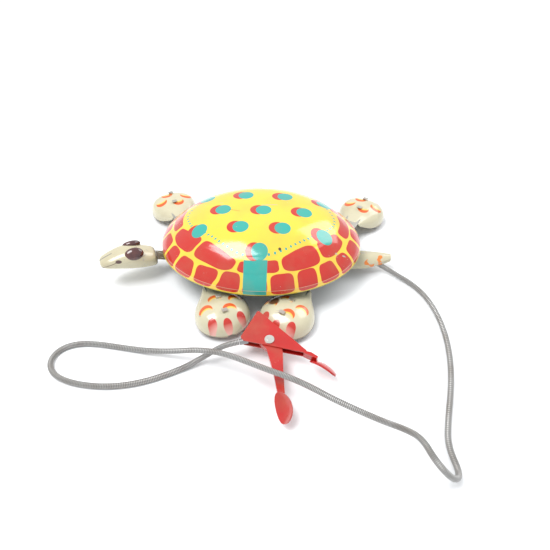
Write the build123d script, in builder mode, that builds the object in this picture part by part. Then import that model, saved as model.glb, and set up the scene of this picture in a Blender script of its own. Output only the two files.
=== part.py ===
from build123d import *
import math
import os

# A tin turtle that crawls when the squeeze grip at the other end of its cable is worked.
# Millimetres, +Z up, floor at z = 0. The toy's own long axis is X, with the head towards -X.

# Shell and belly
SHELL_LENGTH = 116
SHELL_WIDTH = 91
RIM_HEIGHT = 17
SHELL_TOP = 40.1
SKIRT_HEIGHT = 2.8
DOME_POWER = 3.6
TIN = 0.6
BELLY_HEIGHT = 12.5
BELLY_FLAT = 104
WIDTH_RATIO = SHELL_WIDTH / SHELL_LENGTH

# Leg bars, feet and wheels
PIVOT_X = 40
SWING = 25
FOOT_REACH = 54
FOOT_LENGTH = 36
FOOT_WIDTH = 29
FOOT_RIM = 3.5
FOOT_TOP = 14
BAR_WIDTH = 9
BAR_LOW = 10.5
BAR_HIGH = 11.5
WHEEL_RADIUS = 4.6
WHEEL_WIDTH = 4
AXLE_RADIUS = 0.8
RUNNING_GAP = 0.06
FORK_GAP = 6.4
TAB_SPACING = 9.6

# Crank pins and slider: the slider travels 2 * CRANK * sin(SWING)
CRANK = 9.5
PIN_RADIUS = 1
SLIDER_LOW = 7.6
SLIDER_HIGH = 8.6
WIRE_HEIGHT = 8.1
WIRE_RADIUS = 0.6

# Slider guides and return spring
FRONT_GUIDE_X = -22
REAR_GUIDE_X = 18
SPRING_FROM = -9.4
SPRING_TO = 8
SPRING_HEIGHT = 5.6

# Cable
CABLE = 2.8
FERRULE_RADIUS = 1.9

# Squeeze grip: a flat folded-tin handle that slopes down away from the toy
GRIP_PIVOT = (9.5, -71.5, 12.4)
GRIP_TILT = math.degrees(math.atan(0.165))
GRIP_DEPTH = 4.4
PAD_DEPTH = -1.2
LEVER_LOW = -3.7
LEVER_HIGH = -0.7

FRONT = Location((-PIVOT_X, 0, 0), (0, 0, SWING))
REAR = Location((PIVOT_X, 0, 0), (0, 0, -SWING))
PIN_X = CRANK * math.sin(math.radians(SWING))
PIN_Y = CRANK * math.cos(math.radians(SWING))

pieces = {}


def keep(name, part):
    """Remember a finished piece under its node name."""
    pieces[name] = part


def on(part, place):
    return part.moved(place)


def dome_points(radius, low, high, power, steps=9):
    """Half of a flat-topped dome's outline, from its edge to its centre."""
    return [
        (radius * (1 - i / steps), low + (high - low) * (1 - (1 - i / steps) ** power))
        for i in range(steps + 1)
    ]


# ---------------------------------------------------------------- shell and belly
def make_upper_shell():
    radius = SHELL_LENGTH / 2
    crease = RIM_HEIGHT + SKIRT_HEIGHT
    outer = dome_points(radius - 0.5, crease, SHELL_TOP, DOME_POWER)
    inner = dome_points(radius - 0.5 - TIN, crease, SHELL_TOP - TIN, DOME_POWER)
    with BuildPart() as shell:
        with BuildSketch(Plane.XZ):
            with BuildLine():
                Line((radius, RIM_HEIGHT), outer[0])
                Spline(outer, tangents=((-0.5, 1), (-1, 0)))
                Line(outer[-1], inner[-1])
                Spline(inner[::-1], tangents=((1, 0), (0.5, -1)))
                Line(inner[0], (radius - TIN, RIM_HEIGHT))
                Line((radius - TIN, RIM_HEIGHT), (radius, RIM_HEIGHT))
            make_face()
        revolve(axis=Axis.Z)
        scale(by=(1, WIDTH_RATIO, 1))
    return shell.part


def make_belly_pan():
    """A shallow tray whose rim stands just inside the shell's skirt."""
    flat = BELLY_FLAT / 2
    rim = SHELL_LENGTH / 2 - TIN - 0.55
    wall_low = RIM_HEIGHT - 0.9
    wall_high = RIM_HEIGHT + 1.6
    with BuildPart() as belly:
        with BuildSketch(Plane.XZ):
            with BuildLine():
                Polyline(
                    (0, BELLY_HEIGHT), (flat, BELLY_HEIGHT), (rim, wall_low), (rim, wall_high),
                    (rim - TIN, wall_high), (rim - TIN, wall_low + 0.3),
                    (flat - 0.3, BELLY_HEIGHT + TIN), (0, BELLY_HEIGHT + TIN), (0, BELLY_HEIGHT),
                )
            make_face()
        revolve(axis=Axis.Z)
        scale(by=(1, WIDTH_RATIO, 1))
        with Locations((-PIVOT_X, 0, BELLY_HEIGHT), (PIVOT_X, 0, BELLY_HEIGHT)):
            Cylinder(2.02, 4, mode=Mode.SUBTRACT)
    return belly.part


def trough(stations):
    """A solid with a flat underside and an arched top, through sections along X."""
    with BuildPart() as solid:
        for x, half_width, low, high in stations:
            with BuildSketch(Plane.YZ.offset(x)):
                with BuildLine():
                    Line((-half_width, low), (half_width, low))
                    Line((half_width, low), (half_width, low + 2))
                    ThreePointArc((half_width, low + 2), (0, high), (-half_width, low + 2))
                    Line((-half_width, low + 2), (-half_width, low))
                make_face()
        loft(ruled=True)
    return solid.part


def make_tail():
    """An inverted trough, riveted under the belly, that hides the cable's end."""
    with BuildPart() as tail:
        add(trough([(51, 7.6, 5.2, 11), (62, 6.6, 5.5, 11.2), (72, 4, 7, 11.4), (76.5, 2.2, 8, 11)]))
        add(trough([(50.4, 7, 3.2, 10.4), (62, 6, 3.5, 10.6), (71.4, 3.4, 5, 10.8)]), mode=Mode.SUBTRACT)
        with Locations((52, 0, (BELLY_HEIGHT + 10.2) / 2)):
            Box(1.6, 7, BELLY_HEIGHT - 10.2)
    return tail.part


# ---------------------------------------------------------------- leg bars, in the bar's own frame
def make_leg_bar():
    length = 2 * (FOOT_REACH + TAB_SPACING / 2 + 1.4)
    thick = BAR_HIGH - BAR_LOW
    with BuildPart() as bar:
        with BuildSketch(Plane.XY.offset(BAR_LOW)):
            SlotOverall(length, BAR_WIDTH, rotation=90)
            Circle(7)
            Circle(2 + RUNNING_GAP, mode=Mode.SUBTRACT)
            with Locations(*tab_places()):
                Rectangle(3.2, 0.9, mode=Mode.SUBTRACT)
        extrude(amount=thick)
    return bar.part


def tab_places():
    """Where the four bent tabs of the two wheel forks pass through a bar."""
    return [
        (0, side * (FOOT_REACH + step * TAB_SPACING / 2)) for side in (-1, 1) for step in (-1, 1)
    ]


def make_foot():
    """A domed paddle over the bar's +Y end, open below and notched where the bar comes in."""
    width = FOOT_WIDTH / 2
    stretch = FOOT_LENGTH / FOOT_WIDTH
    outer = dome_points(width, FOOT_RIM, FOOT_TOP, 3, 7)
    inner = dome_points(width - TIN, FOOT_RIM, FOOT_TOP - TIN, 3, 7)
    with BuildPart() as foot:
        with BuildSketch(Plane.XZ):
            with BuildLine():
                Spline(outer, tangents=((-0.3, 1), (-1, 0)))
                Line(outer[-1], inner[-1])
                Spline(inner[::-1], tangents=((1, 0), (0.3, -1)))
                Line(inner[0], outer[0])
            make_face()
        revolve(axis=Axis.Z)
        scale(by=(1, stretch, 1))
        with Locations((0, -FOOT_LENGTH / 2, 6.9)):
            Box(BAR_WIDTH + 0.6, FOOT_LENGTH / 2, 9.6, mode=Mode.SUBTRACT)
        with Locations((0, -TAB_SPACING / 2, FOOT_TOP), (0, TAB_SPACING / 2, FOOT_TOP)):
            Box(3.2, 0.9, 8, mode=Mode.SUBTRACT)
    return foot.part.moved(Location((0, FOOT_REACH, 0)))


def make_fork(side):
    """The inverted U that carries a wheel; its two tabs are bent over on top of the foot."""
    leg_y = FORK_GAP / 2 + 0.4
    tab_y = TAB_SPACING / 2
    crown_low = BAR_LOW - 0.8
    with BuildPart() as fork:
        with Locations((0, 0, BAR_LOW - 0.4)):
            Box(6.4, TAB_SPACING + 0.8, 0.8)
        with Locations((0, -leg_y, (crown_low + 3) / 2), (0, leg_y, (crown_low + 3) / 2)):
            Box(5, 0.8, crown_low - 3)
        with Locations((0, -tab_y, (BAR_LOW + 14.1) / 2), (0, tab_y, (BAR_LOW + 14.1) / 2)):
            Box(3, 0.8, 14.1 - BAR_LOW)
        with Locations((0, -tab_y - 0.7, 14.35), (0, tab_y + 0.7, 14.35)):
            Box(3, 2.2, 0.5)
        with Locations((0, 0, WHEEL_RADIUS)):
            Cylinder(AXLE_RADIUS, 20, rotation=(90, 0, 0), mode=Mode.SUBTRACT)
    return fork.part.moved(Location((0, side * FOOT_REACH, 0)))


def make_axle(side):
    with BuildPart() as axle:
        Cylinder(AXLE_RADIUS, FORK_GAP + 3, rotation=(90, 0, 0))
        with Locations((0, -FORK_GAP / 2 - 1.5, 0), (0, FORK_GAP / 2 + 1.5, 0)):
            Cylinder(1.4, 0.7, rotation=(90, 0, 0))
    return axle.part.moved(Location((0, side * FOOT_REACH, WHEEL_RADIUS)))


def make_wheel(side):
    with BuildPart() as wheel:
        with BuildSketch(Plane.XZ.offset(-WHEEL_WIDTH / 2)):
            Circle(WHEEL_RADIUS)
        extrude(amount=WHEEL_WIDTH)
        chamfer(wheel.edges().filter_by(GeomType.CIRCLE), length=0.5)
        with BuildSketch(Plane.XZ.offset(-FORK_GAP / 2 + 0.3)):
            Circle(1.8)
        extrude(amount=FORK_GAP - 0.6)
        Cylinder(AXLE_RADIUS + RUNNING_GAP, 20, rotation=(90, 0, 0), mode=Mode.SUBTRACT)
    return wheel.part.moved(Location((0, side * FOOT_REACH, WHEEL_RADIUS)))


def make_crank_pin(side):
    with BuildPart() as pin:
        with Locations((0, side * CRANK, (BAR_LOW + 6.6) / 2)):
            Cylinder(PIN_RADIUS, BAR_LOW - 6.6)
    return pin.part


def make_neck():
    """A strip that leaves the front bar, dips under the shell's rim and rises to the head."""
    path = [(-6.2, 0, 9.9), (-15, 0, 9.9), (-22, 0, 12.6), (-26, 0, 13.6)]
    with BuildPart() as neck:
        with BuildSketch(Plane.XZ):
            with BuildLine() as side:
                low = Polyline(*[(x, z) for x, y, z in path])
                offset(low, amount=0.6, side=Side.LEFT)
            make_face()
        extrude(amount=4, both=True)
    return neck.part


def make_head():
    """A hollow stamping, open below: wide brow, tapered snout, narrower nape."""
    stations = [(-23, 5.6, 9.4, 15.6), (-30, 7.0, 10.0, 20.0), (-37, 8.0, 11.2, 23.6),
                (-44, 7.2, 12.4, 23.2), (-51, 4.8, 14.0, 21.0), (-54.5, 2.4, 15.6, 19.6)]

    def form(shrink):
        with BuildPart() as solid:
            for x, half_width, low, high in stations:
                middle = (low * 1.4 + high) / 2.4
                wide = half_width - shrink
                with BuildSketch(Plane.YZ.offset(x + (shrink if x < -50 else 0))):
                    with BuildLine():
                        ThreePointArc((wide, middle), (0, high - shrink), (-wide, middle))
                        ThreePointArc((-wide, middle), (0, low + shrink), (wide, middle))
                    make_face()
            loft()
        return solid.part

    with BuildPart() as head:
        add(form(0))
        add(form(TIN), mode=Mode.SUBTRACT)
    return head.part


# ---------------------------------------------------------------- pivots, slider and cable end
def make_pivot_rivet():
    with BuildPart() as rivet:
        with BuildSketch(Plane.XY.offset(BAR_LOW - 1.1)):
            Circle(3.6)
        extrude(amount=0.9)
        with BuildSketch(Plane.XY.offset(BAR_LOW - 0.2)):
            Circle(2)
        extrude(amount=BELLY_HEIGHT + TIN - BAR_LOW + 0.2)
        with BuildSketch(Plane.XY.offset(BELLY_HEIGHT + TIN)):
            Circle(3.6)
        extrude(amount=0.9)
    return rivet.part


def make_washer():
    with BuildPart() as washer:
        with BuildSketch(Plane.XY.offset(BAR_HIGH + 0.1)):
            Circle(4.4)
            Circle(2.02, mode=Mode.SUBTRACT)
        extrude(amount=BELLY_HEIGHT - BAR_HIGH - 0.1)
    return washer.part


def make_slider():
    """A strip under the belly with a cross slot for each bar's crank pin."""
    thick = SLIDER_HIGH - SLIDER_LOW
    front_x = -PIVOT_X + PIN_X
    rear_x = PIVOT_X + PIN_X
    arm_end = 13.6
    with BuildPart() as slider:
        with BuildSketch(Plane.XY.offset(SLIDER_LOW)):
            with Locations(((front_x + rear_x) / 2 - 0.8, 0)):
                Rectangle(rear_x - front_x + 5, 8)
            for x, side in ((front_x, -1), (rear_x, 1)):
                with Locations((x, side * arm_end / 2)):
                    Rectangle(7, arm_end)
                with Locations((x, side * (PIN_Y + CRANK) / 2)):
                    Rectangle(2 * PIN_RADIUS + 0.4, CRANK - PIN_Y + 2 * PIN_RADIUS + 0.6, mode=Mode.SUBTRACT)
        extrude(amount=thick)
    return slider.part


def make_guide():
    """A strap that holds the slider up against the belly."""
    with BuildPart() as guide:
        with Locations((0, 0, 6.9)):
            Box(6, 13, 0.8)
        with Locations((0, -6.1, (6.5 + BELLY_HEIGHT) / 2), (0, 6.1, (6.5 + BELLY_HEIGHT) / 2)):
            Box(6, 0.8, BELLY_HEIGHT - 6.5)
        with Locations((0, -8, BELLY_HEIGHT - 0.4), (0, 8, BELLY_HEIGHT - 0.4)):
            Box(6, 4.6, 0.8)
    return guide.part


def make_spring_post():
    """A lug under the rear guide's strap that holds the still end of the return spring."""
    with BuildPart() as post:
        with Locations((REAR_GUIDE_X - 6.4, 0, 6.9)):
            Box(6.8, 3, 0.8)
        with Locations((SPRING_TO + 1.2, 0, 5.4)):
            Box(0.8, 3, 2.6)
    return post.part


def make_slider_hook():
    """A lug bent down from the slider for the moving end of the return spring."""
    with BuildPart() as hook:
        with Locations((SPRING_FROM - 0.8, 0, (SLIDER_LOW + 4.2) / 2)):
            Box(0.8, 3, SLIDER_LOW - 4.2)
    return hook.part


def make_cable_clamp():
    with BuildPart() as clamp:
        with Locations((48.8, 0, BELLY_HEIGHT - 0.4)):
            Box(2.8, 7, 0.8)
        with Locations((49.7, 0, (5.6 + BELLY_HEIGHT) / 2)):
            Box(1, 7, BELLY_HEIGHT - 5.6)
        with Locations((49.7, 0, WIRE_HEIGHT)):
            Cylinder(FERRULE_RADIUS, 4, rotation=(0, 90, 0), mode=Mode.SUBTRACT)
    return clamp.part


def make_body_ferrule(start, end):
    length = end - start
    with BuildPart() as ferrule:
        with Locations(((start + end) / 2, 0, WIRE_HEIGHT)):
            Cylinder(FERRULE_RADIUS, length, rotation=(0, 90, 0))
            Cylinder(WIRE_RADIUS + 0.3, length, rotation=(0, 90, 0), mode=Mode.SUBTRACT)
    return ferrule.part


def make_drive_wire(start, end):
    with BuildPart() as wire:
        with Locations(((start + end) / 2, 0, WIRE_HEIGHT)):
            Cylinder(WIRE_RADIUS, end - start, rotation=(0, 90, 0))
    return wire.part


# ---------------------------------------------------------------- squeeze grip
GRIP = Plane(
    origin=GRIP_PIVOT,
    x_dir=(1, 0, 0),
    z_dir=(0, -math.sin(math.radians(GRIP_TILT)), math.cos(math.radians(GRIP_TILT))),
)
HEEL = (-7, 17.5)
TOE = (20.3, -6.7)
CABLE_CORNER = (-14.5, 1)
LOWER_CORNER = (-12.8, -0.9)
ANCHOR = (-4.6, 12.1)
BACK_ANGLE = math.degrees(math.atan2(TOE[1] - HEEL[1], TOE[0] - HEEL[0]))
MID_DEPTH = (LEVER_LOW + LEVER_HIGH) / 2
CABLE_ENTRY = (-10.9, 0.5)
CABLE_EXIT = (-15.2, -0.7)
FERRULE_END = (-14.95, -0.63)


def grip_point(along, across, depth):
    return GRIP.from_local_coords(Vector(along, across, depth))


def make_spoon(length, width):
    """A dished oval finger pad, hollow side up, with its middle at the origin."""
    ball = 15
    with BuildPart() as spoon:
        with Locations((0, 0, ball)):
            Sphere(ball)
            Sphere(ball - 0.8, mode=Mode.SUBTRACT)
        with BuildSketch():
            Ellipse(length / 2, width / 2)
        extrude(amount=ball / 2, mode=Mode.INTERSECT)
    return spoon.part


def spoon_on_grip(length, width, centre, heading, roll):
    """A finger pad set in the grip, turned about its own long axis by roll."""
    seat = GRIP.location * Location(centre, (0, 0, heading)) * Location((0, 0, 0), (roll, 0, 0))
    return make_spoon(length, width).moved(seat)


def make_grip_housing():
    """Two triangular plates joined by a web along the back, ending in the fixed finger pad."""
    pad = spoon_on_grip(14.5, 8.4, (27.4, -10.7, -2.6), -31, 128)
    with BuildPart() as housing:
        with BuildSketch(GRIP) as outline:
            with BuildLine():
                Polyline(HEEL, TOE, LOWER_CORNER, CABLE_CORNER, HEEL)
            make_face()
            fillet(outline.vertices(), radius=0.8)
        extrude(amount=-GRIP_DEPTH)
        with BuildSketch(GRIP.offset(-TIN)):
            with Locations(Location((HEEL[0], HEEL[1], 0), (0, 0, BACK_ANGLE))):
                with Locations((12.5, -15 - TIN)):
                    Rectangle(51, 30)
        extrude(amount=-(GRIP_DEPTH - 2 * TIN), mode=Mode.SUBTRACT)
        with BuildSketch(GRIP):
            Circle(1.52)
        extrude(amount=-GRIP_DEPTH, mode=Mode.SUBTRACT)
        with BuildSketch(GRIP.offset(-GRIP_DEPTH)):
            with BuildLine():
                Polyline((17, -5.2), (20.6, -5.9), (24, -8.1), (23.4, -9.3), (17, -6.4), (17, -5.2))
            make_face()
        extrude(amount=GRIP_DEPTH)
        add(pad)
    return housing.part


def make_squeeze_lever():
    """A channel, open towards the fixed grip, with its short arm inside the housing."""
    outline = [(-7, 12.6), (-5.6, 14), (-3.4, 13), (4.6, 4), (5.6, 0), (6.9, -6.4), (7.6, -16),
               (8.8, -27.5), (5.3, -27.5), (2.6, -16.3), (-1.2, -4.7), (-4.8, -1.6), (-5.2, 3)]
    channel = [(0.2, -6.2), (12, -6.2), (12, -26.5), (5.9, -26.5), (3.4, -16.3)]
    stem = [(5.3, -26.6), (8.6, -26.6), (9.4, -30), (6.8, -30)]
    thick = LEVER_HIGH - LEVER_LOW
    pad = spoon_on_grip(15.5, 9, (9.6, -35.4, PAD_DEPTH), -72, 42)
    with BuildPart() as lever:
        with BuildSketch(GRIP.offset(LEVER_LOW)):
            with BuildLine():
                Polyline(*outline, outline[0])
            make_face()
        extrude(amount=thick)
        with BuildSketch(GRIP.offset(LEVER_LOW + TIN)):
            with BuildLine():
                Polyline(*channel, channel[0])
            make_face()
        extrude(amount=thick - 2 * TIN, mode=Mode.SUBTRACT)
        with BuildSketch(GRIP.offset(LEVER_LOW)):
            Circle(1.5 + RUNNING_GAP)
            with Locations(ANCHOR):
                Circle(0.8)
        extrude(amount=thick, mode=Mode.SUBTRACT)
        with BuildSketch(GRIP.offset(LEVER_LOW)):
            with BuildLine():
                Polyline(*stem, stem[0])
            make_face()
        extrude(amount=thick)
        add(pad)
    return lever.part


def make_grip_rivet():
    with BuildPart() as rivet:
        with BuildSketch(GRIP.offset(-GRIP_DEPTH - 0.5)):
            Circle(2.4)
        extrude(amount=0.5)
        with BuildSketch(GRIP.offset(-GRIP_DEPTH)):
            Circle(1.5)
        extrude(amount=GRIP_DEPTH)
        with BuildSketch(GRIP):
            Circle(2.4)
        extrude(amount=0.7)
    return rivet.part


def make_anchor_pin():
    with BuildPart() as pin:
        with BuildSketch(GRIP.offset(LEVER_LOW)):
            with Locations(ANCHOR):
                Circle(0.8)
        extrude(amount=LEVER_HIGH - LEVER_LOW)
    return pin.part


def make_tube(start, end, radius, bore):
    """A round sleeve from start to end."""
    run = end - start
    with BuildPart() as sleeve:
        with BuildSketch(Plane(origin=start, z_dir=run)):
            Circle(radius)
            Circle(bore, mode=Mode.SUBTRACT)
        extrude(amount=run.length)
    return sleeve.part


# ---------------------------------------------------------------- cable
SHEATH_START = Vector(57.5, 0, WIRE_HEIGHT)
SHEATH_END = grip_point(*CABLE_EXIT, MID_DEPTH)

# From the tail round to the hairpin, back over the lever and itself, round the left bend to the grip.
ROUTE = [
    (64.5, -0.4, 7.5), (71.5, -3.2, 5.2), (79.5, -7.4, 2.6), (88, -13.5, 1.5), (95, -24, 1.4),
    (99.2, -38, 1.4), (101, -54, 1.4), (100.2, -71, 1.4), (97.2, -88, 1.4), (93, -104, 1.4),
    (90, -118, 1.4), (93, -131.5, 1.6), (87.5, -138.6, 8.7), (79.5, -134.5, 15.9),
    (75.9, -123.3, 14.5), (69.8, -117.5, 11.6), (62.4, -112.6, 8.6), (52.2, -107.6, 8.2),
    (39.5, -103.2, 10.8), (29, -99.2, 13.8), (19.4, -95.4, 14.8), (9, -91.4, 14.6),
    (-2.2, -85.8, 13.4), (-13, -81.2, 12.6), (-25.5, -77.8, 10), (-38, -75.6, 5.4), (-51, -73.6, 2.4),
    (-64, -71.6, 1.4), (-77, -69.8, 1.4), (-88, -69.4, 1.4), (-97, -73, 1.4), (-100.5, -81.5, 1.4),
    (-96, -90, 1.4), (-86, -94.4, 1.4), (-74, -96, 1.4), (-62.5, -95.4, 1.4), (-51, -92.4, 1.4),
    (-40.5, -87.4, 1.4), (-31, -81.8, 1.7), (-23.5, -77.4, 3.8), (-17.2, -75, 7.2), (-11.5, -73.4, 9.7),
]


def make_cable_sheath():
    """The coiled-wire sheath, as straight runs joined by arcs as large as the runs allow."""
    points = [SHEATH_START] + [Vector(*point) for point in ROUTE] + [SHEATH_END]
    runs = [b - a for a, b in zip(points, points[1:])]
    radii = []
    for before, after in zip(runs, runs[1:]):
        turn = math.radians(before.get_angle(after))
        radii.append(0.45 * min(before.length, after.length) / math.tan(turn / 2))
    print("cable radii:", " ".join(f"{radius:.0f}" for radius in radii))
    with BuildPart() as sheath:
        with BuildLine() as path:
            FilletPolyline(*points, radius=radii)
        with BuildSketch(Plane(origin=points[0], z_dir=runs[0])):
            Circle(CABLE / 2)
        sweep()
    length = sum(edge.length for edge in path.line.edges())
    print(f"cable length {length:.1f}, tube volume over section times length:"
          f" {sheath.part.volume / (math.pi * CABLE ** 2 / 4 * length):.4f}")
    return sheath.part


def make_return_spring():
    """The outer shape of the tension spring that draws the slider back."""
    with BuildPart() as spring:
        with Locations(((SPRING_FROM + SPRING_TO) / 2, 0, SPRING_HEIGHT)):
            Cylinder(1.3, SPRING_TO - SPRING_FROM, rotation=(0, 90, 0))
            Cylinder(0.8, SPRING_TO - SPRING_FROM, rotation=(0, 90, 0), mode=Mode.SUBTRACT)
    return spring.part


# ---------------------------------------------------------------- assembly
keep("upper_shell", make_upper_shell())
keep("belly_pan", make_belly_pan())
keep("tail", make_tail())
keep("front_guide", on(make_guide(), Location((FRONT_GUIDE_X, 0, 0))))
keep("rear_guide", on(make_guide(), Location((REAR_GUIDE_X, 0, 0))))
keep("spring_post", make_spring_post())
keep("return_spring", make_return_spring())
keep("cable_clamp", make_cable_clamp())
keep("body_ferrule", make_body_ferrule(48.4, SHEATH_START.X - 0.2))
keep("slider", make_slider())
keep("slider_hook", make_slider_hook())
keep("drive_wire", make_drive_wire(PIVOT_X + PIN_X + 3.5, 57.2))

foot = make_foot()
for end, place, crank_side in (("front", FRONT, -1), ("rear", REAR, 1)):
    centre = Location((place.position.X, 0, 0))
    keep(f"{end}_pivot_rivet", on(make_pivot_rivet(), centre))
    keep(f"{end}_washer", on(make_washer(), centre))
    keep(f"{end}_leg_bar", on(make_leg_bar(), place))
    keep(f"{end}_crank_pin", on(make_crank_pin(crank_side), place))
    for hand, side in (("left", -1), ("right", 1)):
        keep(f"{end}_{hand}_foot", on(foot, place * Location((0, 0, 0), (0, 0, 90 - 90 * side))))
        keep(f"{end}_{hand}_fork", on(make_fork(side), place))
        keep(f"{end}_{hand}_axle", on(make_axle(side), place))
        keep(f"{end}_{hand}_wheel", on(make_wheel(side), place))

keep("neck_strip", on(make_neck(), FRONT))
keep("head", on(make_head(), FRONT))
keep("grip_housing", make_grip_housing())
keep("squeeze_lever", make_squeeze_lever())
keep("grip_rivet", make_grip_rivet())
keep("anchor_pin", make_anchor_pin())
keep("grip_ferrule", make_tube(grip_point(*CABLE_ENTRY, MID_DEPTH), grip_point(*FERRULE_END, MID_DEPTH), 1.55, 0.8))
keep("cable_sheath", make_cable_sheath())

# The frame's origin is the middle of the toy and its grip, on the floor; the loose cable isn't counted.
counted = [part.bounding_box() for name, part in pieces.items() if name != "cable_sheath"]
lows = [min(getattr(box.min, axis) for box in counted) for axis in "XYZ"]
highs = [max(getattr(box.max, axis) for box in counted) for axis in "XYZ"]
SHIFT = Vector(-(lows[0] + highs[0]) / 2, -(lows[1] + highs[1]) / 2, -lows[2])
print("shift", SHIFT, "size", [high - low for low, high in zip(lows, highs)])
print("grip pivot", GRIP.origin + SHIFT, "axis", GRIP.z_dir)

os.makedirs("parts", exist_ok=True)
for name, part in pieces.items():
    placed = part.moved(Location(SHIFT))
    placed.label = name
    export_step(placed, f"parts/{name}.step")
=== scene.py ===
import math

import bmesh
import bpy
from mathutils import Matrix, Vector


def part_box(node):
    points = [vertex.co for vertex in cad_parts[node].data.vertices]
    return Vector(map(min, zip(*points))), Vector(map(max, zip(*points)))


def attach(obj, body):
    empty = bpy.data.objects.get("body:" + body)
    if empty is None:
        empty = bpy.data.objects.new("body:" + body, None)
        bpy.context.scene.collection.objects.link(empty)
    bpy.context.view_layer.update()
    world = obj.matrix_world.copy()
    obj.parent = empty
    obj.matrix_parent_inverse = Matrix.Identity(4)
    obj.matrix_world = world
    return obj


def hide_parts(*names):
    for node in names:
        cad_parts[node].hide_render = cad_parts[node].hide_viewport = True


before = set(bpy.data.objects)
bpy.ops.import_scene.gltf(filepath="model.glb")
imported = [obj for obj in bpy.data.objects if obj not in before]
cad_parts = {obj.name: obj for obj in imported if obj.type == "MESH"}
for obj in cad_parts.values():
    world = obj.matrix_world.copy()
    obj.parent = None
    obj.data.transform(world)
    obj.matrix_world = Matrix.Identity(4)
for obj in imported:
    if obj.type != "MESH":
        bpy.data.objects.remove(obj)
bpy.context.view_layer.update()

# The shell's centre on the floor, in the frame's metres; every length below is in millimetres until mm() is used.
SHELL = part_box("upper_shell")
CENTRE = ((Vector(SHELL[0]) + Vector(SHELL[1])) / 2).xy.to_3d()
HALF_LENGTH = 58
HALF_WIDTH = 45.5


def mm(x, y, z):
    """A point given from the shell's centre in millimetres, in the frame's metres."""
    return CENTRE + Vector((x, y, z)) / 1000


# ---------------------------------------------------------------- shader arithmetic
class Value:
    """A shader socket that can be added, scaled and compared, so patterns read as formulas."""

    def __init__(self, tree, socket):
        self.tree = tree
        self.socket = socket

    def math(self, operation, *others):
        node = self.tree.nodes.new("ShaderNodeMath")
        node.operation = operation
        for slot, value in zip(node.inputs, (self, *others)):
            if isinstance(value, Value):
                self.tree.links.new(value.socket, slot)
            else:
                slot.default_value = value
        return Value(self.tree, node.outputs[0])

    def __add__(self, other):
        return self.math("ADD", other)

    def __sub__(self, other):
        return self.math("SUBTRACT", other)

    def __mul__(self, other):
        return self.math("MULTIPLY", other)

    def __truediv__(self, other):
        return self.math("DIVIDE", other)

    def least(self, other):
        return self.math("MINIMUM", other)

    def most(self, other):
        return self.math("MAXIMUM", other)

    def size(self):
        return self.math("ABSOLUTE")

    def middle(self):
        """Distance from the middle of its repeating unit cell, 0 to 0.5."""
        return (self.math("FRACT") - 0.5).size()

    def above(self, edge, soft=0.02):
        """1 where it is above edge, 0 below, with a soft step."""
        result = (self - edge) * (1 / soft) + 0.5
        result.socket.node.use_clamp = True
        return result

    def below(self, edge, soft=0.02):
        result = (self - edge) * (-1 / soft) + 0.5
        result.socket.node.use_clamp = True
        return result


class Paint:
    """A material whose colour is built up in layers."""

    def __init__(self, name):
        self.material = bpy.data.materials.new(name)
        self.material.use_nodes = True
        self.tree = self.material.node_tree
        self.shader = self.tree.nodes["Principled BSDF"]
        self.place = self.tree.nodes.new("ShaderNodeTexCoord").outputs["Object"]

    def local(self, centre, turn=0):
        """x, y and z in millimetres from centre, turned about +Z."""
        mapping = self.tree.nodes.new("ShaderNodeMapping")
        mapping.vector_type = "TEXTURE"
        mapping.inputs["Location"].default_value = centre
        mapping.inputs["Rotation"].default_value = (0, 0, turn)
        mapping.inputs["Scale"].default_value = (0.001, 0.001, 0.001)
        self.tree.links.new(self.place, mapping.inputs["Vector"])
        parts = self.tree.nodes.new("ShaderNodeSeparateXYZ")
        self.tree.links.new(mapping.outputs["Vector"], parts.inputs["Vector"])
        return [Value(self.tree, parts.outputs[axis]) for axis in "XYZ"]

    def noise(self, scale, detail=3, rough=0.55, stretch=(1, 1, 1)):
        mapping = self.tree.nodes.new("ShaderNodeMapping")
        mapping.inputs["Scale"].default_value = stretch
        texture = self.tree.nodes.new("ShaderNodeTexNoise")
        texture.inputs["Scale"].default_value = scale
        texture.inputs["Detail"].default_value = detail
        texture.inputs["Roughness"].default_value = rough
        self.tree.links.new(self.place, mapping.inputs["Vector"])
        self.tree.links.new(mapping.outputs["Vector"], texture.inputs["Vector"])
        return Value(self.tree, texture.outputs["Fac"])

    def lay(self, base, mask, colour):
        """colour over base where mask is 1."""
        node = self.tree.nodes.new("ShaderNodeMix")
        node.data_type = "RGBA"
        self.tree.links.new(mask.socket, node.inputs["Factor"])
        for slot, value in ((node.inputs[6], base), (node.inputs[7], colour)):
            if isinstance(value, tuple):
                slot.default_value = (*value, 1)
            else:
                self.tree.links.new(value, slot)
        return node.outputs[2]

    def set(self, name, value):
        slot = self.shader.inputs[name]
        if isinstance(value, Value):
            self.tree.links.new(value.socket, slot)
        elif isinstance(value, bpy.types.NodeSocket):
            self.tree.links.new(value, slot)
        else:
            slot.default_value = (*value, 1) if isinstance(value, tuple) else value

    def bump(self, height, strength=0.3, distance=0.0002):
        node = self.tree.nodes.new("ShaderNodeBump")
        node.inputs["Strength"].default_value = strength
        node.inputs["Distance"].default_value = distance
        self.tree.links.new(height.socket, node.inputs["Height"])
        self.tree.links.new(node.outputs["Normal"], self.shader.inputs["Normal"])


YELLOW = (0.86, 0.58, 0.05)
RED = (0.52, 0.022, 0.012)
TEAL = (0.025, 0.36, 0.31)
CREAM = (0.56, 0.52, 0.36)
TIN = (0.42, 0.39, 0.33)
RUST = (0.11, 0.045, 0.02)


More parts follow.
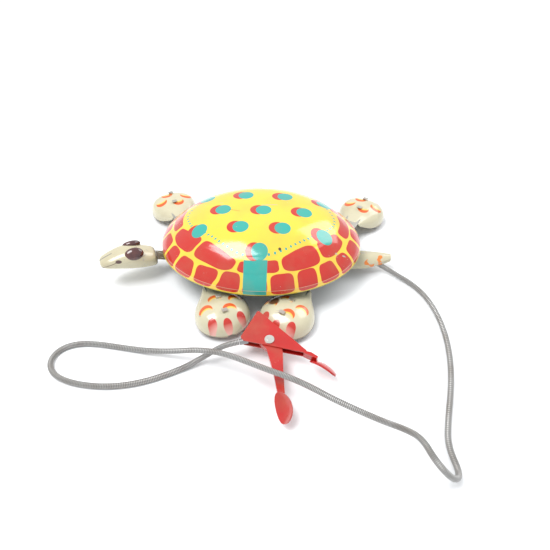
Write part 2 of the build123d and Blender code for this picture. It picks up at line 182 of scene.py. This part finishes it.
def finish_tin(paint, colour, rough=0.2, wear=0.66):
    """Adds grime, scratches to bare tin and the lacquer's gloss over a printed colour."""
    grime = paint.noise(70, 5).above(0.62, 0.3) * 0.25
    colour = paint.lay(colour, grime, (0.28, 0.2, 0.1))
    specks = paint.noise(900, 2).above(wear + 0.06, 0.03) * paint.noise(90, 2).above(0.52, 0.1)
    scratches = paint.noise(260, 3, 0.6, (0.12, 1.6, 1)).above(wear + 0.04, 0.02)
    bare = specks.most(scratches)
    colour = paint.lay(colour, bare, TIN)
    paint.set("Base Color", colour)
    paint.set("Roughness", paint.noise(120, 4) * 0.16 + (rough - 0.08))
    paint.set("Coat Weight", 0.6)
    paint.set("Coat Roughness", 0.08)


# ---------------------------------------------------------------- printed tin
def shell_material():
    """Yellow back with paired dots, inside two rows of red scutes with yellow veins."""
    paint = Paint("shell_litho")
    x, y, z = paint.local(CENTRE)
    warp = (paint.noise(42, 2) - 0.5) * 1.8
    along = x / HALF_LENGTH
    across = y / HALF_WIDTH
    radius = (along * along + across * across).math("SQRT") + warp * 0.03
    turn = across.math("ARCTAN2", along)
    angle = turn / (2 * math.pi) + 1
    border = (turn * 4).math("COSINE") * 0.045 + 0.72
    band = x.size().below(6.2, 0.25)

    # Scutes: an upper row of long ones, a lower row of squarer ones, each a rounded patch in its cell
    def patch(u, v):
        return ((u * u) * (u * u) + (v * v) * (v * v)).below(1, 0.12)

    upper_u = ((angle * 12 + warp * 0.3).math("FRACT").size() + 0.5).math("FRACT") - 0.5
    lower_u = ((angle * 24 + warp * 0.4).math("FRACT").size() + 0.5).math("FRACT") - 0.5
    upper_v = ((radius - border) / (border * -1 + 0.872) - 0.5) * 2.12
    lower_v = (z - 22.3) / 4.5 + warp * 0.25
    scutes = patch(upper_u / 0.46, upper_v).most(patch(lower_u / 0.43, lower_v))

    # Paired dots on a diamond lattice
    red_dots = None
    teal_dots = None
    for row in range(-2, 3):
        columns = (0,) if abs(row) == 2 else (-1, 0, 1) if row == 0 else (-1.5, -0.5, 0.5, 1.5)
        for column in columns:
            dx = x - column * 22.73
            dy = y - row * 15.24
            dy2 = dy * dy
            from_red = ((dx + 1.3) * (dx + 1.3) + dy2).math("SQRT")
            from_teal = ((dx - 1.8) * (dx - 1.8) + dy2).math("SQRT")
            red_dots = from_red if red_dots is None else red_dots.least(from_red)
            teal_dots = from_teal if teal_dots is None else teal_dots.least(from_teal)

    beads_across = (angle * 76 + 0.5).middle() * 3.6
    beads_along = (radius - border + 0.05) * 46
    beads = (beads_across * beads_across + beads_along * beads_along).math("SQRT").below(0.7, 0.2)

    colour = paint.lay(YELLOW, scutes, RED)
    colour = paint.lay(colour, band * radius.above(0.755, 0.01), TEAL)
    colour = paint.lay(colour, beads, TEAL)
    colour = paint.lay(colour, red_dots.below(4.5, 0.15), RED)
    colour = paint.lay(colour, teal_dots.below(4.4, 0.15), TEAL)
    # A thin light warm line along the crease at 19.8 mm height: a painted highlight.
    colour = paint.lay(colour, (z - 19.8).size().below(0.14, 0.1) * 0.45, (0.9, 0.62, 0.4))
    colour = paint.lay(colour, z.below(17.5, 0.15), (0.5, 0.42, 0.03))
    scratch = (y + (x + 14.5) * 0.25 + 1).size().below(0.14, 0.1) * (x + 14.5).size().below(3, 0.3)
    pinhole = ((x - 12.3) * (x - 12.3) + (y + 28.5) * (y + 28.5)).math("SQRT").below(0.8, 0.2)
    colour = paint.lay(colour, scratch.most(pinhole), (0.05, 0.04, 0.02))
    finish_tin(paint, colour, 0.16, 0.68)
    ridge = radius.above(0.74, 0.03) - radius.above(0.87, 0.02) * 0.7
    paint.bump(ridge + z.above(19.8, 0.5) * 0.5 + paint.noise(60, 2) * 0.6, 0.35, 0.0005)
    return paint.material


def foot_material(end, hand):
    """Cream paddle with rows of red and orange crescents towards its outer end."""
    paint = Paint(f"{end}_{hand}_foot_litho")
    low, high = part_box(f"{end}_{hand}_wheel")
    middle = (Vector(low) + Vector(high)) / 2
    outwards = math.radians(25 if end == "front" else -25) + (0 if hand == "right" else math.pi)
    across, along, z = paint.local((middle.x, middle.y, 0), outwards)
    warp = (paint.noise(90, 2) - 0.5) * 3
    colour = paint.lay(CREAM, paint.noise(60, 3).above(0.45, 0.4) * 0.4, (0.62, 0.58, 0.42))

    def disc(cx, cy, wide, long):
        u = (across - cx + warp * 0.3) / wide
        v = (along - cy + warp * 0.3) / long
        return (u * u + v * v).math("SQRT")

    for cx, cy in ((-8, -2), (2.5, -5), (9, 1), (-3, 4.5)):
        arc = disc(cx, cy, 3.6, 3.4).below(1, 0.08) * disc(cx, cy + 1.9, 3.4, 3).above(1, 0.08)
        glow = disc(cx, cy, 3.2, 3).below(1, 0.5) * disc(cx, cy + 2.6, 3.6, 3).above(0.9, 0.3)
        colour = paint.lay(colour, glow, (0.86, 0.55, 0.08))
        colour = paint.lay(colour, arc, (0.66, 0.1, 0.015))
    for cx, cy in ((-7.5, 10), (0.5, 12), (8, 9.5)):
        oval = disc(cx, cy, 2.3, 3).below(1, 0.1)
        colour = paint.lay(colour, oval, (0.8, 0.42, 0.36))
        colour = paint.lay(colour, oval * along.below(cy + 0.8, 3), RED)
    # Darker cream along the bottom edge, near the floor: painted shade.
    colour = paint.lay(colour, z.below(4.2, 0.3), (0.34, 0.28, 0.18))
    if (end, hand) == ("rear", "left"):
        spot = ((across - 8) * (across - 8) + (along + 1) * (along + 1)).math("SQRT") + warp
        colour = paint.lay(colour, spot.below(3, 1), RUST)
    finish_tin(paint, colour, 0.24, 0.66)
    paint.bump(paint.noise(160, 3), 0.15, 0.0004)
    return paint.material


def cream_material(name, spots=False):
    paint = Paint(name)
    colour = paint.lay(CREAM, paint.noise(90, 4).above(0.5, 0.3) * 0.5, (0.5, 0.45, 0.3))
    if spots:
        mark = paint.noise(190, 1).above(0.62, 0.02)
        colour = paint.lay(colour, mark, (0.7, 0.2, 0.03))
    finish_tin(paint, colour, 0.24, 0.62)
    paint.bump(paint.noise(200, 3), 0.15, 0.0003)
    return paint.material


def head_material():
    """Cream with a grey nose line, a dark blot at the corner of the mouth and painted shade at the nape."""
    paint = Paint("head_litho")
    turn = math.radians(25)
    along, across, z = paint.local(mm(-40, 0, 0), turn)
    colour = paint.lay(CREAM, paint.noise(110, 4).above(0.5, 0.3) * 0.4, (0.5, 0.44, 0.29))
    mouth = (z - 16.2 - (along + 53) * 0.33).size().below(0.16, 0.12) * along.below(-44.5, 0.5)
    blot_u = (along + 44.6) / 1.7
    blot_v = (z - 18.9) / 0.9
    blot = (blot_u * blot_u + blot_v * blot_v).math("SQRT").below(1, 0.2)
    nose = across.size().below(0.35, 0.2) * along.below(-47, 0.5) * z.above(17.5, 0.4)
    # Dark brown over the back end of the head, where it goes in under the shell: painted shade.
    nape_shade = along.above(-24, 0.8)
    colour = paint.lay(colour, mouth.most(blot * across.size().above(3, 0.4)), (0.09, 0.05, 0.05))
    colour = paint.lay(colour, nose, (0.2, 0.2, 0.19))
    colour = paint.lay(colour, nape_shade * 0.7, (0.16, 0.1, 0.06))
    finish_tin(paint, colour, 0.22, 0.62)
    paint.bump(paint.noise(150, 3), 0.15, 0.0003)
    return paint.material


def plain_paint(name, colour, other, rough=0.25, wear=0.62):
    """One enamel colour with mottling, grime and chips through to the tin."""
    paint = Paint(name)
    mixed = paint.lay(colour, paint.noise(80, 4).above(0.5, 0.4), other)
    finish_tin(paint, mixed, rough, wear)
    paint.bump(paint.noise(240, 3), 0.1, 0.0003)
    return paint.material


def metal(name, colour, dark, rough=0.35, grain=(1, 12, 1), stain=0.58):
    """Bare metal with a rolled grain, dull patches and brown stains."""
    paint = Paint(name)
    mixed = paint.lay(colour, paint.noise(140, 4).above(0.5, 0.3), dark)
    mixed = paint.lay(mixed, paint.noise(220, 4).above(stain, 0.08) * 0.6, RUST)
    paint.set("Base Color", mixed)
    paint.set("Metallic", 0.9)
    paint.set("Roughness", paint.noise(320, 3, 0.6, grain) * 0.3 + (rough - 0.12))
    paint.bump(paint.noise(500, 3, 0.6, grain), 0.12, 0.0002)
    return paint.material


def cable_material():
    """Close-wound wire: fine turns across the length of the cable, with a painted highlight on each crest and
    painted shade in the grooves.
    """
    paint = Paint("cable_steel")
    uv = paint.tree.nodes.new("ShaderNodeTexCoord").outputs["UV"]
    parts = paint.tree.nodes.new("ShaderNodeSeparateXYZ")
    paint.tree.links.new(uv, parts.inputs["Vector"])
    turns = Value(paint.tree, parts.outputs["X"]) * 620
    ridge = turns.middle() * 2
    # Lighter on the crests of the turns and darker in the grooves between them: painted highlight and painted
    # shade.
    colour = paint.lay((0.2, 0.2, 0.195), ridge.above(0.45, 0.5), (0.5, 0.49, 0.475))
    colour = paint.lay(colour, paint.noise(90, 3).above(0.55, 0.2) * 0.35, (0.2, 0.17, 0.14))
    paint.set("Base Color", colour)
    paint.set("Metallic", 0.85)
    paint.set("Roughness", paint.noise(150, 3) * 0.2 + 0.34)
    paint.bump(ridge, 0.7, 0.0003)
    return paint.material


def eye_material():
    paint = Paint("eye_gloss")
    colour = paint.lay((0.045, 0.012, 0.016), paint.noise(180, 2).above(0.5, 0.3), (0.1, 0.03, 0.025))
    paint.set("Base Color", colour)
    paint.set("Roughness", paint.noise(300, 2) * 0.1 + 0.08)
    paint.set("Coat Weight", 1.0)
    return paint.material


def dress(material, *nodes):
    for name in nodes:
        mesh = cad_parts[name].data
        mesh.materials.clear()
        mesh.materials.append(material)


# ---------------------------------------------------------------- CAD pieces
dress(shell_material(), "upper_shell")
dress(plain_paint("belly_green", (0.02, 0.075, 0.045), (0.015, 0.05, 0.03), 0.3, 0.66), "belly_pan")
dress(cream_material("tail_litho", True), "tail")
# The neck strip is dark brown all over: painted shade of the gap under the shell.
dress(plain_paint("neck_litho", (0.2, 0.13, 0.07), (0.11, 0.08, 0.05), 0.4, 0.6), "neck_strip")
sides = [f"{end}_{hand}" for end in ("front", "rear") for hand in ("left", "right")]
tinplate = metal("tinplate", (0.68, 0.66, 0.6), (0.5, 0.48, 0.43), 0.36, (1, 12, 1), 0.64)
dress(tinplate, "front_leg_bar", "rear_leg_bar", "front_guide", "rear_guide", "spring_post", "cable_clamp",
      "slider", "slider_hook", "front_washer", "rear_washer", *[f"{side}_fork" for side in sides])
dress(metal("steel", (0.42, 0.42, 0.42), (0.28, 0.28, 0.28), 0.32), "front_crank_pin", "rear_crank_pin",
      "front_pivot_rivet", "rear_pivot_rivet", "body_ferrule", "drive_wire", "anchor_pin", "grip_ferrule",
      *[f"{side}_axle" for side in sides])
dress(metal("bright_rivet", (0.8, 0.78, 0.72), (0.6, 0.58, 0.52), 0.2, (1, 1, 1), 0.66), "grip_rivet")
dress(plain_paint("wheel_black", (0.02, 0.02, 0.02), (0.035, 0.033, 0.03), 0.6, 0.8),
      *[f"{side}_wheel" for side in sides])
dress(plain_paint("grip_red", (0.5, 0.014, 0.01), (0.42, 0.01, 0.008), 0.24, 0.7),
      "grip_housing", "squeeze_lever")


# ---------------------------------------------------------------- head
def make_object(name, mesh, material, body="body"):
    piece = bpy.data.objects.new(name, mesh)
    bpy.context.collection.objects.link(piece)
    mesh.materials.append(material)
    for polygon in getattr(mesh, "polygons", ()):
        polygon.use_smooth = True
    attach(piece, body)
    return piece


def on_front_bar(x, y, z):
    """A point given in the front bar's own frame, in millimetres, at its rest angle."""
    turned = Matrix.Rotation(math.radians(25), 3, "Z") @ Vector((x, y, 0))
    return mm(-40 + turned.x, turned.y, z)


def loft_mesh(name, rings):
    """A closed skin through rings of points, capped at both ends."""
    form = bmesh.new()
    loops = [[form.verts.new(point) for point in ring] for ring in rings]
    for before, after in zip(loops, loops[1:]):
        for i in range(len(before)):
            j = (i + 1) % len(before)
            form.faces.new((before[i], before[j], after[j], after[i]))
    form.faces.new(loops[0][::-1])
    form.faces.new(loops[-1])
    bmesh.ops.recalc_face_normals(form, faces=form.faces)
    mesh = bpy.data.meshes.new(name)
    form.to_mesh(mesh)
    form.free()
    return mesh


def sheet_mesh(name, rows):
    """An open skin through rows of points, facing up."""
    form = bmesh.new()
    lines = [[form.verts.new(point) for point in row] for row in rows]
    for before, after in zip(lines, lines[1:]):
        for i in range(len(before) - 1):
            form.faces.new((before[i], before[i + 1], after[i + 1], after[i]))
    form.normal_update()
    if sum(face.normal.z for face in form.faces) < 0:
        bmesh.ops.reverse_faces(form, faces=form.faces)
    mesh = bpy.data.meshes.new(name)
    form.to_mesh(mesh)
    form.free()
    return mesh


# Each: along the bar's frame, half width, underside, middle and top heights
HEAD_SECTIONS = [
    (-22.5, 6, 8.2, 12, 16.6), (-26, 6.9, 8.2, 13, 18), (-30, 7.6, 8.6, 14, 20), (-34, 8, 9.4, 15.2, 21.8),
    (-38, 8, 10.2, 16, 22.6), (-42, 7.6, 11.2, 16.4, 22.4), (-46, 7, 12.2, 16.6, 21.4), (-50, 6, 13, 16.6, 20),
    (-53, 4.8, 13.6, 16.4, 18.8), (-54.8, 3, 14.4, 16.4, 17.8),
]
rings = []
for x, half, low, middle, high in HEAD_SECTIONS:
    ring = []
    for step in range(28):
        turn = 2 * math.pi * step / 28
        side = math.cos(turn)
        lift = math.sin(turn)
        rise = high - middle if lift > 0 else low - middle
        height = middle + rise * abs(lift) ** 0.85
        wide = half * abs(side) ** 0.85 * (1 if side > 0 else -1)
        ring.append(on_front_bar(x, wide, height))
    rings.append(ring)
head = make_object("head_stamping", loft_mesh("head_stamping", rings), head_material(),
                   "front_legs")
head.modifiers.new("smooth", "SUBSURF").render_levels = 2
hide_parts("head")

eye_gloss = eye_material()
for side, label in ((-1, "left"), (1, "right")):
    eye_rings = []
    for lap in range(15):
        tilt = math.pi * (lap / 14 - 0.5)
        radius = max(math.cos(tilt), 0.02) ** 0.8
        bulge = 2.3 * math.sin(tilt)
        ring = []
        for step in range(28):
            spin = 2 * math.pi * step / 28
            up = 3.7 * radius * math.sin(spin)
            x = -35.4 + 5.4 * radius * math.cos(spin)
            ring.append(on_front_bar(x, side * (4.6 + 0.72 * bulge - 0.69 * up), 20.4 + 0.69 * bulge + 0.72 * up))
        eye_rings.append(ring)
    make_object(f"{label}_eye", loft_mesh(f"{label}_eye", eye_rings), eye_gloss, "front_legs")


# ---------------------------------------------------------------- feet
# Each: distance from the bar's pivot, half width, rim height and top height
FOOT_SECTIONS = [
    (35, 5.4, 9.6, 11.7), (37, 6.4, 8, 11.8), (40, 8.4, 6, 11.9), (43, 11, 4.6, 12.2), (46.5, 13.2, 3.7, 13),
    (50, 14.5, 3.5, 13.9), (54, 15, 3.5, 14.1), (58, 14.6, 3.5, 13.9), (61, 13.4, 3.5, 13), (64, 11.2, 3.5, 11.2),
    (66.5, 8, 3.5, 8.8), (68, 4.8, 3.5, 6.6), (68.8, 2, 3.5, 4.6),
]
for end in ("front", "rear"):
    tilt = math.radians(25 if end == "front" else -25)
    pivot = -40 if end == "front" else 40
    for hand in ("left", "right"):
        side = 1 if hand == "right" else -1
        arches = []
        for reach, half, low, high in FOOT_SECTIONS:
            arch = []
            for step in range(21):
                turn = math.pi * step / 20
                wide = half * math.copysign(abs(math.cos(turn)) ** 0.8, math.cos(turn))
                height = low + (high - low) * math.sin(turn) ** 0.75
                spot = Matrix.Rotation(tilt, 3, "Z") @ Vector((wide, side * reach, 0))
                arch.append(mm(pivot + spot.x, spot.y, height))
            arches.append(arch)
        name = f"{end}_{hand}_paddle"
        mesh = sheet_mesh(name, arches)
        paddle = make_object(name, mesh, foot_material(end, hand), f"{end}_legs")
        smooth = paddle.modifiers.new("smooth", "SUBSURF")
        smooth.levels = 1
        smooth.render_levels = 2
        wall = paddle.modifiers.new("tin", "SOLIDIFY")
        wall.thickness = 0.0004
        wall.offset = -1
        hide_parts(f"{end}_{hand}_foot")


# ---------------------------------------------------------------- return spring
def tube_mesh(name, path, radius, around=8):
    rings = []
    for i, point in enumerate(path):
        ahead = (path[min(i + 1, len(path) - 1)] - path[max(i - 1, 0)]).normalized()
        side = ahead.orthogonal() if not rings else (rings[-1][0] - path[i - 1])
        side = (side - ahead * side.dot(ahead)).normalized()
        up = ahead.cross(side)
        rings.append([
            point + (side * math.cos(2 * math.pi * k / around) + up * math.sin(2 * math.pi * k / around)) * radius
            for k in range(around)
        ])
    return loft_mesh(name, rings)


SPRING_START = 8
SPRING_END = -9.4
TURNS = 20
coil = []
for i in range(TURNS * 14 + 1):
    share = i / (TURNS * 14)
    turn = 2 * math.pi * TURNS * share
    station = SPRING_START + (SPRING_END - SPRING_START) * share
    coil.append(mm(station, 1.05 * math.cos(turn), 5.6 + 1.05 * math.sin(turn)))
spring_steel = metal("spring_steel", (0.5, 0.5, 0.5), (0.35, 0.35, 0.35))
spring = make_object("spring_coil", tube_mesh("spring_coil", coil, 0.00025), spring_steel)
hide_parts("return_spring")

# ---------------------------------------------------------------- cable
ROUTE = [
    (57.5, 0, 8.1),
    (64.5, -0.4, 7.5), (71.5, -3.2, 5.2), (79.5, -7.4, 2.6), (88, -13.5, 1.5), (95, -24, 1.4),
    (99.2, -38, 1.4), (101, -54, 1.4), (100.2, -71, 1.4), (97.2, -88, 1.4), (93, -104, 1.4),
    (90, -118, 1.4), (93, -131.5, 1.6), (87.5, -138.6, 8.7), (79.5, -134.5, 15.9),
    (75.9, -123.3, 14.5), (69.8, -117.5, 11.6), (62.4, -112.6, 8.6), (52.2, -107.6, 8.2),
    (39.5, -103.2, 10.8), (29, -99.2, 13.8), (19.4, -95.4, 14.8), (9, -91.4, 14.6),
    (-2.2, -85.8, 13.4), (-13, -81.2, 12.6), (-25.5, -77.8, 10), (-38, -75.6, 5.4), (-51, -73.6, 2.4),
    (-64, -71.6, 1.4), (-77, -69.8, 1.4), (-88, -69.4, 1.4), (-97, -73, 1.4), (-100.5, -81.5, 1.4),
    (-96, -90, 1.4), (-86, -94.4, 1.4), (-74, -96, 1.4), (-62.5, -95.4, 1.4), (-51, -92.4, 1.4),
    (-40.5, -87.4, 1.4), (-31, -81.8, 1.7), (-23.5, -77.4, 3.8), (-17.2, -75, 7.2), (-11.5, -73.4, 9.7),
    (-5.7, -71.83, 10.12),
]
curve = bpy.data.curves.new("cable", "CURVE")
curve.dimensions = "3D"
curve.resolution_u = 12
curve.bevel_depth = 0.0014
curve.bevel_resolution = 5
curve.use_fill_caps = True
spline = curve.splines.new("NURBS")
spline.points.add(len(ROUTE) - 1)
for point, place in zip(spline.points, ROUTE):
    point.co = (*mm(*place), 1)
spline.order_u = 3
spline.use_endpoint_u = True
cable = bpy.data.objects.new("cable", curve)
bpy.context.collection.objects.link(cable)
curve.materials.append(cable_material())
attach(cable, "body")
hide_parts("cable_sheath")

# ---------------------------------------------------------------- stage
floor_mesh = bpy.data.meshes.new("floor")
floor_mesh.from_pydata([(-20, -20, 0), (20, -20, 0), (20, 20, 0), (-20, 20, 0)], [], [(0, 1, 2, 3)])
floor = bpy.data.objects.new("floor", floor_mesh)
bpy.context.collection.objects.link(floor)
paper = Paint("backdrop")
paper.set("Base Color", paper.lay((0.86, 0.87, 0.88), paper.noise(6, 2).above(0.5, 0.5), (0.89, 0.9, 0.91)))
paper.set("Roughness", 0.7)
floor_mesh.materials.append(paper.material)

world = bpy.data.worlds.new("studio")
world.use_nodes = True
world.node_tree.nodes["Background"].inputs["Color"].default_value = (0.97, 0.985, 1, 1)
world.node_tree.nodes["Background"].inputs["Strength"].default_value = 0.8
bpy.context.scene.world = world
bpy.context.scene.view_settings.view_transform = "Standard"


def lamp(name, place, aim, size, power, tint=(1, 1, 1)):
    light = bpy.data.lights.new(name, "AREA")
    light.size = size
    light.energy = power
    light.color = tint
    item = bpy.data.objects.new(name, light)
    bpy.context.collection.objects.link(item)
    item.location = place
    item.rotation_euler = (Vector(aim) - Vector(place)).to_track_quat("-Z", "Y").to_euler()


lamp("key", (-0.35, -0.15, 0.9), (0, 0, 0), 0.5, 7.5)
lamp("fill", (0.6, 0.5, 0.7), (0, 0, 0), 0.6, 4)

lens = bpy.data.cameras.new("camera")
lens.lens = 35
lens.sensor_width = 36
camera = bpy.data.objects.new("camera", lens)
bpy.context.collection.objects.link(camera)
camera.location = mm(22.27, -247.1, 211.1)
camera.rotation_euler = (math.radians(90 - 41.55), 0, math.radians(3.27))
bpy.context.scene.camera = camera
